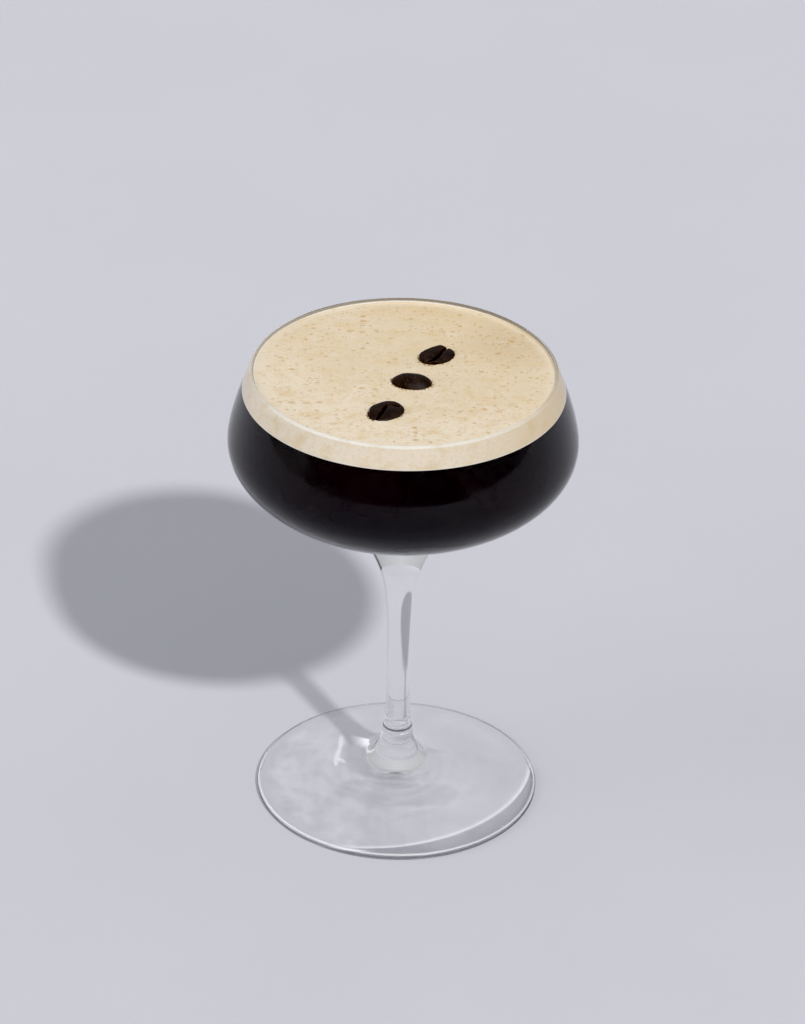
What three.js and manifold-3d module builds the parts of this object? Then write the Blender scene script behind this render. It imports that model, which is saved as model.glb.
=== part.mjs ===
// A coffee cocktail in its stemmed coupe glass: one drawn glass with a saucer bowl,
// near-black coffee up to a foam layer, and three roasted coffee beans set in the foam.
// Millimetres, +Z up. The origin is the middle of the foot, on the surface it stands on.

import * as THREE from "three";
import { mergeVertices } from "three/addons/utils/BufferGeometryUtils.js";
import Module from "manifold-3d";

// The glass
const glassHeight = 139.4;
const rimRadius = 43.75; // outside, at the lip
const lipThickness = 1.1;
const wallThickness = 1.05; // at the belly of the bowl
const bellyRadius = 50;
const bellyHeight = 117.4;
const bowlTurnRadius = 22.95; // where the bowl's shallow cone meets the stem's flare
const bowlTurnHeight = 94.06;
const bowlBaseThickness = 1.35; // of the wall, at that turn
const bowlFloorHeight = 90.9; // inside, on the axis
const flareRadius = 10.5; // the stem's flare, half way into the bowl
const flareHeight = 84;
const stemRadius = 3.42;
const stemMiddleHeight = 44;
const collarRadius = 4.1; // the foot of the stem, above the joint ring
const collarHeight = 21;
const ringBulge = 0.3; // the joint ring stands this far proud of the collar
const ringHeight = 1.8;
const bossRadius = 9.2; // the bell that spreads from the ring into the foot
const bossHeight = 10;
const footRadius = 41.2;
const footEdgeThickness = 1.95;
const footHollow = 4.6; // rise of the underside at the middle
const restInnerRadius = 37.6; // the flat ring that the glass stands on
const restOuterRadius = 40;

// The drink
const foamLevel = 138.15;
const coffeeLevel = 132.7; // where the foam meets the coffee
const meniscusRise = 0.35; // the foam creeps up the wall
const meniscusWidth = 1.6;
const gap = 0.3; // clear space between neighbouring pieces

// The beans: place on the foam, plan turn and roll in degrees, and how high the middle
// plane of the bean lies over the foam
const beans = [
  { name: "bean_front", x: -5.1, y: -22.7, turn: 38, roll: 6, pitch: -2, lift: 0.35,
    length: 11, width: 8.3, thickness: 4.8, face: "up" },
  { name: "bean_middle", x: 2.2, y: -4.9, turn: -7, roll: 0, pitch: 2, lift: -0.95,
    length: 11.9, width: 8, thickness: 4.9, face: "down" },
  { name: "bean_back", x: 9, y: 11, turn: 44, roll: 9, pitch: 2, lift: 0.5,
    length: 11, width: 8.8, thickness: 4.8, face: "up" },
];
const flatShare = 0.28; // of a bean's thickness, on the flat side of its widest line
const creaseDepth = 0.75;
const creaseHalfWidth = 0.42;
const creaseSwing = 0.7; // how far the crease's S leaves the middle line

// Fineness
const roundSegments = 48;
const beanRings = 13;
const beanSides = 22;

const materials = {
  glass: new THREE.MeshStandardMaterial({
    color: 0xe9eef0, roughness: 0.03, metalness: 0, transparent: true, opacity: 0.3,
  }),
  coffee: new THREE.MeshStandardMaterial({ color: 0x0d0604, roughness: 0.12, metalness: 0 }),
  foam: new THREE.MeshStandardMaterial({ color: 0xe2cfae, roughness: 0.75, metalness: 0 }),
  bean: new THREE.MeshStandardMaterial({ color: 0x2a1d17, roughness: 0.5, metalness: 0 }),
};

// One bend of an outline in (radius, height), from a cubic with two handles.
// The last point is left to the next bend.
function bend(start, startHandle, endHandle, end, steps) {
  const curve = new THREE.CubicBezierCurve(
    new THREE.Vector2(...start),
    new THREE.Vector2(...startHandle),
    new THREE.Vector2(...endHandle),
    new THREE.Vector2(...end),
  );
  return curve.getPoints(steps).slice(0, -1);
}

// A closed body turned about +Z from an outline that starts and ends on the axis.
function turned(outline) {
  const geometry = new THREE.LatheGeometry(outline, roundSegments);
  geometry.rotateX(Math.PI / 2);
  return geometry;
}

function footOutline() {
  const edgeTop = [footRadius - 0.9, footEdgeThickness];
  const edgeMiddle = [footRadius, footEdgeThickness / 2];
  return [
    ...bend([0, footHollow], [13, footHollow], [27, 1.1], [restInnerRadius, 0], 4),
    new THREE.Vector2(restInnerRadius, 0),
    ...bend([restOuterRadius, 0], [footRadius - 0.4, 0], [footRadius, 0.4], edgeMiddle, 2),
    ...bend(edgeMiddle, [footRadius, 1.6], [footRadius - 0.4, 1.9], edgeTop, 2),
    ...bend(edgeTop, [29, 3.9], [15.5, 6.9], [bossRadius, bossHeight], 5),
  ];
}

function stemOutline() {
  const ringMiddle = [collarRadius + ringBulge, collarHeight - ringHeight / 2];
  const ringFoot = [collarRadius, collarHeight - ringHeight];
  const bossTop = [collarRadius + 0.25, ringFoot[1] - 0.6];
  return [
    ...bend([bossRadius, bossHeight], [7.2, 11.4], [4.7, 15], bossTop, 5),
    ...bend(bossTop, bossTop, ringFoot, ringFoot, 1),
    ...bend(ringFoot, [ringMiddle[0], ringFoot[1]], ringMiddle, ringMiddle, 2),
    ...bend(ringMiddle, ringMiddle, [ringMiddle[0], collarHeight],
      [collarRadius, collarHeight], 2),
    ...bend([collarRadius, collarHeight], [3.15, 28], [3.3, 38],
      [stemRadius, stemMiddleHeight], 3),
    ...bend([stemRadius, stemMiddleHeight], [stemRadius, 64.2], [3.65, 72.3],
      [flareRadius, flareHeight], 7),
  ];
}

function bowlOutside() {
  return [
    ...bend([flareRadius, flareHeight], [12.8, 87.9], [17.8, 92.1],
      [bowlTurnRadius, bowlTurnHeight], 3),
    ...bend([bowlTurnRadius, bowlTurnHeight], [39.6, 100.5],
      [bellyRadius, bellyHeight - 10.1], [bellyRadius, bellyHeight], 7),
    ...bend([bellyRadius, bellyHeight], [bellyRadius, bellyHeight + 5.3],
      [rimRadius + 2.3, glassHeight - 5.8], [rimRadius, glassHeight - 0.6], 5),
  ];
}

function lip() {
  const crown = [rimRadius - lipThickness / 2, glassHeight];
  const inside = [rimRadius - lipThickness, glassHeight - 0.6];
  return [
    ...bend([rimRadius, glassHeight - 0.6], [rimRadius, glassHeight - 0.25],
      [rimRadius - 0.2, glassHeight], crown, 2),
    ...bend(crown, [inside[0] + 0.2, glassHeight], [inside[0], glassHeight - 0.25], inside, 2),
  ];
}

// The inside of the bowl from the lip down to the axis, drawn in by an inset.
// The glass has no inset; what fills it is inset by the clear gap.
function bowlInside(inset) {
  const lipInside = [rimRadius - lipThickness - inset, glassHeight - 0.6];
  const belly = [bellyRadius - wallThickness - inset, bellyHeight];
  const turn = [
    bowlTurnRadius - 0.36 * (bowlBaseThickness + inset),
    bowlTurnHeight + 0.93 * (bowlBaseThickness + inset),
  ];
  const floor = bowlFloorHeight + inset;
  return [
    ...bend(lipInside, [lipInside[0] + 2.15, lipInside[1] - 5.1], [belly[0], belly[1] + 5.3],
      belly, 5),
    ...bend(belly, [belly[0], belly[1] - 9.9], [turn[0] + 16.3, turn[1] + 6.3], turn, 7),
    ...bend(turn, [turn[0] - 8.4, turn[1] - 3.2], [6.5, floor], [0, floor], 3),
    new THREE.Vector2(0, floor),
  ];
}

function insideRadiusAt(height, outline) {
  const above = outline.findIndex((point) => point.y < height);
  const high = outline[above - 1];
  const low = outline[above];
  return THREE.MathUtils.mapLinear(height, low.y, high.y, low.x, high.x);
}

function glassGeometry() {
  return turned([
    ...footOutline(),
    ...stemOutline(),
    ...bowlOutside(),
    ...lip(),
    ...bowlInside(0),
  ]);
}

// Coffee fills the bowl up to the foam.
function coffeeGeometry() {
  const wall = bowlInside(gap);
  const top = coffeeLevel - gap / 2;
  const rim = new THREE.Vector2(insideRadiusAt(top, wall), top);
  const below = wall.filter((point) => point.y < top - 0.2);
  return turned([...below.reverse(), rim, new THREE.Vector2(0, top)]);
}

function foamGeometry() {
  const wall = bowlInside(gap);
  const bottom = coffeeLevel + gap / 2;
  const edgeTop = foamLevel + meniscusRise;
  const between = wall.filter((point) => point.y > bottom + 0.4 && point.y < edgeTop - 0.4);
  const edge = insideRadiusAt(edgeTop, wall);
  return turned([
    new THREE.Vector2(0, bottom),
    new THREE.Vector2(insideRadiusAt(bottom, wall), bottom),
    ...between.reverse(),
    ...bend([edge, edgeTop], [edge - 0.3, foamLevel], [edge - 0.9, foamLevel],
      [edge - meniscusWidth, foamLevel], 3),
    new THREE.Vector2(edge - meniscusWidth, foamLevel),
    new THREE.Vector2(0, foamLevel),
  ]);
}

// The crease runs the bean's length as a shallow S.
function creaseLine(along) {
  return creaseSwing * Math.sin(Math.PI * along) * (1 - along * along);
}

// A bean is longest along X, its widest line lies in the XY plane and its flat side with
// the crease faces +Z. Its two ends are single points. Grown by a margin it cuts the foam.
function beanPoint(bean, ring, side, margin) {
  const lengthAngle = Math.PI * (ring / beanRings - 0.5);
  const along = Math.sin(lengthAngle);
  const girth = Math.cos(lengthAngle) ** 0.86;
  const even = (2 * Math.PI * side) / beanSides;
  const around = even + 0.34 * Math.sin(2 * even); // closer together beside the crease
  const flatHeight = bean.thickness * flatShare;
  const domeHeight = bean.thickness - flatHeight;
  const across = Math.cos(around) * girth * (bean.width / 2 + margin);
  const rise = Math.sin(around);
  let height = rise > 0
    ? (flatHeight + margin) * rise ** 0.55 * girth ** 0.7
    : (domeHeight + margin) * rise * girth;
  if (margin === 0 && rise > 0) {
    const offset = (across - creaseLine(along)) / creaseHalfWidth;
    height -= creaseDepth * Math.exp(-offset * offset) * Math.sqrt(girth);
  }
  return new THREE.Vector3(along * (bean.length / 2 + margin), across, height);
}

function beanGeometry(bean, margin) {
  const corners = [beanPoint(bean, 0, 0, margin)];
  for (let ring = 1; ring < beanRings; ring++) {
    for (let side = 0; side < beanSides; side++) {
      corners.push(beanPoint(bean, ring, side, margin));
    }
  }
  corners.push(beanPoint(bean, beanRings, 0, margin));
  const last = corners.length - 1;
  const at = (ring, side) => 1 + (ring - 1) * beanSides + (side % beanSides);
  const faces = [];
  for (let side = 0; side < beanSides; side++) {
    faces.push(0, at(1, side + 1), at(1, side));
    for (let ring = 1; ring < beanRings - 1; ring++) {
      faces.push(at(ring, side), at(ring, side + 1), at(ring + 1, side + 1));
      faces.push(at(ring, side), at(ring + 1, side + 1), at(ring + 1, side));
    }
    faces.push(last, at(beanRings - 1, side), at(beanRings - 1, side + 1));
  }
  const geometry = new THREE.BufferGeometry().setFromPoints(corners);
  geometry.setIndex(faces);
  return geometry;
}

function placeBean(object, bean) {
  const roll = THREE.MathUtils.degToRad(bean.roll + (bean.face === "down" ? 180 : 0));
  const pitch = THREE.MathUtils.degToRad(bean.pitch);
  object.position.set(bean.x, bean.y, foamLevel + bean.lift);
  object.rotation.set(roll, pitch, THREE.MathUtils.degToRad(bean.turn), "ZYX");
  object.updateMatrix();
  return object;
}

const wasm = await Module();
wasm.setup();

function toSolid(geometry) {
  const bare = geometry.clone();
  bare.deleteAttribute("normal");
  bare.deleteAttribute("uv");
  const merged = mergeVertices(bare, 1e-4);
  return new wasm.Manifold(new wasm.Mesh({
    numProp: 3,
    vertProperties: Float32Array.from(merged.attributes.position.array),
    triVerts: Uint32Array.from(merged.index.array),
  }));
}

function toGeometry(solid) {
  const mesh = solid.getMesh();
  const geometry = new THREE.BufferGeometry();
  geometry.setAttribute("position", new THREE.BufferAttribute(mesh.vertProperties, 3));
  geometry.setIndex(new THREE.BufferAttribute(mesh.triVerts, 1));
  geometry.computeVertexNormals();
  return geometry;
}

// The foam is cut round each bean, which keeps its clear gap.
function cutFoamGeometry() {
  let foam = toSolid(foamGeometry());
  for (const bean of beans) {
    const cutter = placeBean(new THREE.Mesh(beanGeometry(bean, gap)), bean);
    foam = foam.subtract(toSolid(cutter.geometry.applyMatrix4(cutter.matrix)));
  }
  return toGeometry(foam);
}

function piece(name, geometry, material) {
  const mesh = new THREE.Mesh(geometry, material);
  mesh.name = name;
  return mesh;
}

const cocktail = new THREE.Group();
cocktail.add(piece("glass", glassGeometry(), materials.glass));
cocktail.add(piece("coffee", coffeeGeometry(), materials.coffee));
cocktail.add(piece("foam", cutFoamGeometry(), materials.foam));
for (const bean of beans) {
  cocktail.add(placeBean(piece(bean.name, beanGeometry(bean, 0), materials.bean), bean));
}

export default cocktail;
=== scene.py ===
# An espresso martini in its stemmed coupe: one clear glass, near-black coffee, a cream foam
# layer and three roasted beans. Lengths in the dictionaries are millimetres.

import math
import random

import bpy
import numpy as np
from mathutils import Matrix, Vector, noise
from mathutils.geometry import interpolate_bezier


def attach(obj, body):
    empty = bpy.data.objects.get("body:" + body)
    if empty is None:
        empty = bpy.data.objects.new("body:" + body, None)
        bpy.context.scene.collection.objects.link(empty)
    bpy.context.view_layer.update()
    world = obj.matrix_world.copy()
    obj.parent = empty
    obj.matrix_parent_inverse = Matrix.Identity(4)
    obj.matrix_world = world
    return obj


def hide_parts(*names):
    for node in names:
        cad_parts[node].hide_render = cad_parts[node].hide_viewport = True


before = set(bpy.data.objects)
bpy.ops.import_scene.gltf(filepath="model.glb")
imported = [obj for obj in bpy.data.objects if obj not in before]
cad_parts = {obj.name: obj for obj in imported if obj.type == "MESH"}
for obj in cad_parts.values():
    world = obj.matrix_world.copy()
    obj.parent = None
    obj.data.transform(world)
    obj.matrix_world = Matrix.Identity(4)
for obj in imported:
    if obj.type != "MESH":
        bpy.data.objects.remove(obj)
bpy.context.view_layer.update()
mm = 0.001


# Shared tools for outlines and meshes

# One bend of an outline in (radius, height); its last point is left to the next bend.
def bend(start, startHandle, endHandle, end, steps):
    corners = [Vector((r, z, 0)) for r, z in (start, startHandle, endHandle, end)]
    return [(p.x, p.y) for p in interpolate_bezier(*corners, steps + 1)[:-1]]


# Vertices and faces of an outline turned about Z. Its ends may lie on the axis.
def turned(outline, segments):
    angles = np.arange(segments) * (2 * math.pi / segments)
    vertices, rows = [], []
    for radius, height in outline:
        if radius < 1e-6:
            rows.append([len(vertices)] * segments)
            vertices.append((0.0, 0.0, height))
        else:
            rows.append(list(range(len(vertices), len(vertices) + segments)))
            vertices += [(radius * math.cos(a), radius * math.sin(a), height) for a in angles]
    faces = []
    for low, high in zip(rows, rows[1:]):
        for i in range(segments):
            j = (i + 1) % segments
            corners = [low[i], low[j], high[j], high[i]]
            faces.append(list(dict.fromkeys(corners)))
    return np.array(vertices), faces


# A smooth-shaded mesh in metres that rides on the frame and stands for a CAD node.
def piece(name, vertices, faces, material, replaced):
    mesh = bpy.data.meshes.new(name)
    mesh.from_pydata((np.asarray(vertices) * mm).tolist(), [], faces)
    mesh.validate()
    mesh.shade_smooth()
    mesh.materials.append(material)
    made = bpy.data.objects.new(name, mesh)
    bpy.context.scene.collection.objects.link(made)
    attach(made, "root")
    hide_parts(replaced)
    return made


def smoothStep(low, high, value):
    t = np.clip((value - low) / (high - low), 0, 1)
    return t * t * (3 - 2 * t)


# Shared tools for node materials

# A material with its shader's fixed values, and the place on the object that patterns follow.
def newMaterial(name, fixed):
    material = bpy.data.materials.new(name)
    material.use_nodes = True
    tree = material.node_tree
    shader = tree.nodes["Principled BSDF"]
    for socket, value in fixed.items():
        shader.inputs[socket].default_value = value
    place = add(tree, "ShaderNodeTexCoord").outputs["Object"]
    return material, tree, shader, place


# A node with its properties set, and its inputs by their names after a leading _ .
def add(tree, kind, **values):
    node = tree.nodes.new(kind)
    for key, value in values.items():
        if key.startswith("_"):
            node.inputs[key[1:]].default_value = value
        else:
            setattr(node, key, value)
    return node


def link(tree, source, target):
    tree.links.new(source, target)


# Fills a socket from another node, or with a number, a vector or a colour.
def put(tree, value, socket):
    if isinstance(value, bpy.types.NodeSocket):
        link(tree, value, socket)
    elif socket.type == "RGBA":
        socket.default_value = (*value, 1.0)
    else:
        socket.default_value = value


def noiseNode(tree, place, scale, detail=3.0, roughness=0.5, output="Fac"):
    made = add(tree, "ShaderNodeTexNoise", _Scale=scale, _Detail=detail, _Roughness=roughness)
    link(tree, place, made.inputs["Vector"])
    return made.outputs[output]


# A smooth step from one value to another while the source goes from low to high.
def ramp(tree, source, low, high, toLow=0.0, toHigh=1.0):
    made = add(tree, "ShaderNodeMapRange", interpolation_type="SMOOTHSTEP")
    for name, value in (("From Min", low), ("From Max", high), ("To Min", toLow), ("To Max", toHigh)):
        made.inputs[name].default_value = value
    link(tree, source, made.inputs["Value"])
    return made.outputs["Result"]


# A step of arithmetic on numbers and sockets, from the left where there are more than two.
def mathNode(tree, operation, first, *others):
    for value in others or (0.0,):
        made = add(tree, "ShaderNodeMath", operation=operation)
        put(tree, first, made.inputs[0])
        put(tree, value, made.inputs[1])
        first = made.outputs[0]
    return first


# The same for places and directions; a length leaves the second out.
def vectorNode(tree, operation, first, second=(0, 0, 0)):
    made = add(tree, "ShaderNodeVectorMath", operation=operation)
    put(tree, first, made.inputs[0])
    put(tree, second, made.inputs[1])
    return made.outputs["Value" if operation in ("LENGTH", "DOT_PRODUCT") else "Vector"]


def millimetres(tree, place):
    return vectorNode(tree, "MULTIPLY", place, (1000, 1000, 1000))


# The x, y and z of a place.
def partsOf(tree, place):
    split = add(tree, "ShaderNodeSeparateXYZ")
    link(tree, place, split.inputs[0])
    return split.outputs


# Distance in the plan from the point (x, y); a stretch counts its two directions differently.
def planDistance(tree, place, x=0, y=0, stretch=(1, 1)):
    away = vectorNode(tree, "SUBTRACT", place, (x, y, 0))
    return vectorNode(tree, "LENGTH", vectorNode(tree, "MULTIPLY", away, (*stretch, 0)))


# A soft line round an object at a height, full over a core that is a share of its width.
def lineAt(tree, z, height, half, most, core):
    away = mathNode(tree, "ABSOLUTE", mathNode(tree, "SUBTRACT", z, height))
    return ramp(tree, away, half, core * half, 0, most)


# A mix of two colours, each a socket or a tuple.
def mixColour(tree, share, first, second, blend="MIX"):
    made = add(tree, "ShaderNodeMix", data_type="RGBA", blend_type=blend)
    for number, value in ((0, share), (6, first), (7, second)):
        put(tree, value, made.inputs[number])
    return made.outputs[2]


# A mix of two numbers, each a socket or a number.
def mixNumber(tree, share, first, second):
    made = add(tree, "ShaderNodeMix", data_type="FLOAT")
    for number, value in ((0, share), (2, first), (3, second)):
        put(tree, value, made.inputs[number])
    return made.outputs[0]


def mixShader(tree, share, first, second):
    made = add(tree, "ShaderNodeMixShader")
    for socket, source in zip(made.inputs, (share, first, second)):
        link(tree, source, socket)
    return made.outputs[0]


def clearShader(tree, colour):
    made = add(tree, "ShaderNodeBsdfTransparent")
    put(tree, colour, made.inputs["Color"])
    return made.outputs[0]


def grey(tree, value):
    made = add(tree, "ShaderNodeCombineColor")
    for socket in made.inputs:
        link(tree, value, socket)
    return made.outputs[0]


def bump(tree, shader, height, strength, distance):
    made = add(tree, "ShaderNodeBump", _Strength=strength, _Distance=distance * mm)
    link(tree, height, made.inputs["Height"])
    link(tree, made.outputs["Normal"], shader.inputs["Normal"])


# Camera at the photograph's angle

camera = {
    "focalPixels": 4957,  # focal length in pixels of the 805 by 1024 picture
    "longSide": 1024,
    "distance": 1422,
    "pitch": 30.57,
    "roll": 1.158,
    "aimHeight": 92.92,
    "shiftPixels": 0.79,
    "sensor": 36,
    "clip": (50, 50000),
}


def makeCamera(c):
    data = bpy.data.cameras.new("camera")
    data.sensor_width = c["sensor"]
    data.lens = c["focalPixels"] / c["longSide"] * c["sensor"]
    data.shift_x = c["shiftPixels"] / c["longSide"]
    data.clip_start, data.clip_end = (v * mm for v in c["clip"])
    made = bpy.data.objects.new("camera", data)
    pitch = math.radians(c["pitch"])
    place = Vector((0, -c["distance"] * math.cos(pitch),
                    c["aimHeight"] + c["distance"] * math.sin(pitch))) * mm
    tilt = Matrix.Rotation(math.pi / 2 - pitch, 4, "X")
    made.matrix_world = Matrix.Translation(place) @ tilt @ Matrix.Rotation(
        math.radians(c["roll"]), 4, "Z")
    bpy.context.scene.collection.objects.link(made)
    bpy.context.scene.camera = made


makeCamera(camera)
print("camera set")


# Floor and light

studio = {
    "floorHalf": 4000,
    "floorDrop": 0.02,  # below the glass, so that no two faces lie in one plane
    "floorColour": (0.568, 0.568, 0.618),
    "floorMottle": 0.985,  # how dark its darker clouds are
    "floorClouds": 9,  # to a metre
    "floorRoughness": 0.7,
    "floorShine": 0.2,
    "keyAzimuth": 29,  # to the right of the camera
    "keyElevation": 44,
    "keyStrength": 2.27,
    "keySpread": 3,
    "keyColour": (1.0, 0.985, 0.96),
    "fillAzimuth": -75,
    "fillElevation": 22,
    "fillStrength": 1.3,
    "fillSpread": 60,
    "fillColour": (0.97, 0.98, 1.0),
    "skyColour": (0.95, 0.965, 1.0),
    "skyStrength": 0.47,
    "wallDistance": 1900,
    "wallTop": 2600,
    "wallPoints": 145,
    # degrees round from the camera, to the right, with the sheet's lower edge and its brightness
    "wallLow": ((-180, 20), (35, 20), (70, 210), (90, 340), (118, 560), (119, 20), (180, 20)),
    "wallTone": ((-180, 0.65), (-140, 0.5), (-128, 0.38), (-98, 0.38), (-86, 0.55), (-65, 0.6),
                 (-60, 0.5), (95, 0.5), (105, 0.38), (130, 0.38), (150, 0.5), (180, 0.65)),
    # strips before that sheet: first and last degree, brightness, the height to which it holds
    # and the one by which it has faded, whether reflections show it and whether clear glass does
    "strips": (
        (-172, -128, 3.0, 120, 340, True, False),
        # seen through the glass as well: a dark sheet standing in for shade behind it, a painted shadow line
        # in the flare
        (124, 139, 0.08, 500, 600, True, True),
        (139, 164, 0.08, 500, 600, True, False),
    ),
    "stripReach": 0.97,  # share of the sheet's distance
    "stripPoints": 9,
    "stripFaded": 0.55,
    "ceilingReach": 0.86,  # a share of the same
    "ceilingRise": 10,
    "ceilingTone": 0.55,
    "blackLevel": 0.02,
}


def makeFloor(s):
    h = s["floorHalf"] * mm
    mesh = bpy.data.meshes.new("floor")
    mesh.from_pydata([(-h, -h, 0), (h, -h, 0), (h, h, 0), (-h, h, 0)], [], [(0, 1, 2, 3)])
    fixed = {"Roughness": s["floorRoughness"], "Specular IOR Level": s["floorShine"]}
    material, tree, shader, place = newMaterial("paleFloor", fixed)
    mottled = ramp(tree, noiseNode(tree, place, s["floorClouds"], 4), 0.35, 0.65)
    darker = tuple(v * s["floorMottle"] for v in s["floorColour"])
    link(tree, mixColour(tree, mottled, darker, s["floorColour"]), shader.inputs["Base Color"])
    mesh.materials.append(material)
    floor = bpy.data.objects.new("floor", mesh)
    floor.location.z = -s["floorDrop"] * mm
    bpy.context.scene.collection.objects.link(floor)


# One far lamp, by its direction round from the camera and its height.
def farLamp(name, azimuth, elevation, strength, spread, colour):
    data = bpy.data.lights.new(name, "SUN")
    data.energy, data.angle, data.color = strength, math.radians(spread), colour
    lamp = bpy.data.objects.new(name, data)
    turn, rise = math.radians(azimuth), math.radians(elevation)
    towards = Vector((math.sin(turn) * math.cos(rise), -math.cos(turn) * math.cos(rise), math.sin(rise)))
    lamp.rotation_euler = towards.to_track_quat("Z", "Y").to_euler()
    lamp.location = towards
    bpy.context.scene.collection.objects.link(lamp)
    return lamp


def makeLight(s):
    farLamp("key", s["keyAzimuth"], s["keyElevation"], s["keyStrength"], s["keySpread"], s["keyColour"])
    fill = farLamp("fill", s["fillAzimuth"], s["fillElevation"], s["fillStrength"], s["fillSpread"],
                   s["fillColour"])
    fill.visible_glossy = fill.visible_transmission = False
    world = bpy.data.worlds.new("studio")
    world.use_nodes = True
    background = world.node_tree.nodes["Background"]
    background.inputs["Color"].default_value = (*s["skyColour"], 1)
    background.inputs["Strength"].default_value = s["skyStrength"]
    bpy.context.scene.world = world


# A glowing sheet of the studio that neither lights nor shades anything that isn't shiny.
def glowSheet(name, s, vertices, faces, tones):
    mesh = bpy.data.meshes.new(name)
    mesh.from_pydata(vertices, [], faces)
    mesh.attributes.new("tone", "FLOAT", "POINT").data.foreach_set("value", tones)
    material = bpy.data.materials.new(name)
    material.use_nodes = True
    material.cycles.emission_sampling = "NONE"
    tree = material.node_tree
    glow = add(tree, "ShaderNodeEmission", _Color=(*s["skyColour"], 1))
    tone = add(tree, "ShaderNodeAttribute", attribute_name="tone")
    link(tree, tone.outputs["Fac"], glow.inputs["Strength"])
    link(tree, glow.outputs[0], tree.nodes["Material Output"].inputs["Surface"])
    mesh.materials.append(material)
    sheet = bpy.data.objects.new(name, mesh)
    bpy.context.scene.collection.objects.link(sheet)
    sheet.visible_camera = sheet.visible_diffuse = sheet.visible_shadow = False
    return sheet


# The studio round and over the glass as shiny and clear surfaces see it: dimmer at the sides and palest
# behind the glass, where one bright and two dark strips draw lines along its lip. The first dark strip is
# seen through the glass too and stands in for shade behind it: a painted shadow line in the flare.
def makeWalls(s):
    turns = np.linspace(-180, 180, s["wallPoints"])
    reach, top = s["wallDistance"] * mm, s["wallTop"] * mm
    lows = np.interp(turns, *zip(*s["wallLow"])) * mm
    tones = np.interp(turns, *zip(*s["wallTone"]))
    around = [(math.sin(a) * reach, -math.cos(a) * reach) for a in np.radians(turns)]
    vertices = [(x, y, low) for (x, y), low in zip(around, lows)] + [(x, y, top) for x, y in around]
    count = len(turns)
    faces = [(i, i + 1, count + i + 1, count + i) for i in range(count - 1)]
    inner, over = s["ceilingReach"], top + s["ceilingRise"] * mm
    vertices += [(inner * x, inner * y, over) for x, y in around] + [(0, 0, over)]
    faces += [(2 * count + i, 2 * count + i + 1, 3 * count) for i in range(count - 1)]
    tones = [*tones, *tones, *[s["ceilingTone"]] * (count + 1)]
    glowSheet("walls", s, vertices, faces, tones)

    near = s["stripReach"]
    for number, (first, last, tone, high, faded, shiny, clear) in enumerate(s["strips"], 1):
        vertices, faces, tones = [], [], []
        for a in np.radians(np.linspace(first, last, s["stripPoints"])):
            if a > math.radians(first):
                k = len(vertices)
                faces += [(k - 3, k, k + 1, k - 2), (k - 2, k + 1, k + 2, k - 1)]
            x, y = math.sin(a) * near * reach, -math.cos(a) * near * reach
            vertices += [(x, y, z * mm) for z in (0, high, faded)]
            tones += [tone, tone, s["stripFaded"]]
        strip = glowSheet(f"strip{number}", s, vertices, faces, tones)
        strip.visible_glossy, strip.visible_transmission = shiny, clear


makeFloor(studio)
makeLight(studio)
makeWalls(studio)
print("floor and light set")


# The glass, one drawn piece. The same sizes as the solid, finely turned.

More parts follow.
